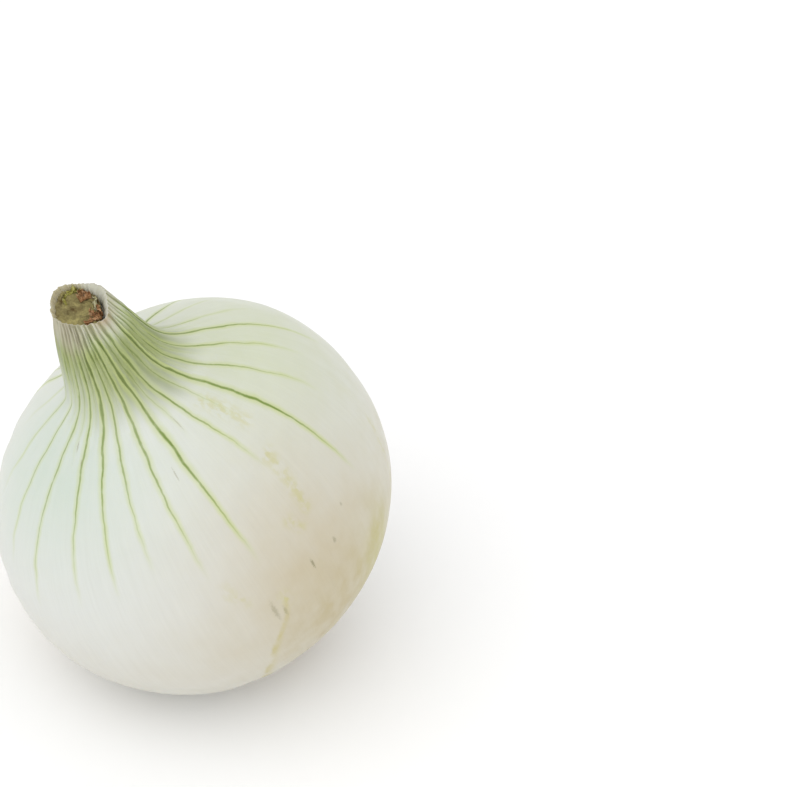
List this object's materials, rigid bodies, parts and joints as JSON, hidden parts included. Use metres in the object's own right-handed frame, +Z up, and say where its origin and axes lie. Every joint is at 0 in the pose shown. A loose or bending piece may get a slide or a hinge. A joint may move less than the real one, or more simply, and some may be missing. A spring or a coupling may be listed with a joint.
{
  "type": "onion",
  "caption": "Round white onion, peeled to a smooth veined skin, with a short cut neck, lying tilted on a small flat spot.",
  "frame": {"origin": "middle of the small flat spot the onion rests on", "axes": "+Z up, out of the resting surface; the neck leans 23.5 degrees from +Z towards -X; -Y is the side seen from the front"},
  "size_m": [0.0784, 0.0809, 0.0844],
  "materials": {
    "onion_skin": "moist bulb skin: smooth, pale white with a green tint and fine green veins towards the neck, softly glossy",
    "dry_neck": "dried leaf layers at the cut end of the neck: papery, olive to brown, matt",
    "root_plate": "corky tan root plate with short dry root stubs, matt"
  },
  "bodies": {
    "root": {"onion": "onion_skin"}
  },
  "joints": []
}
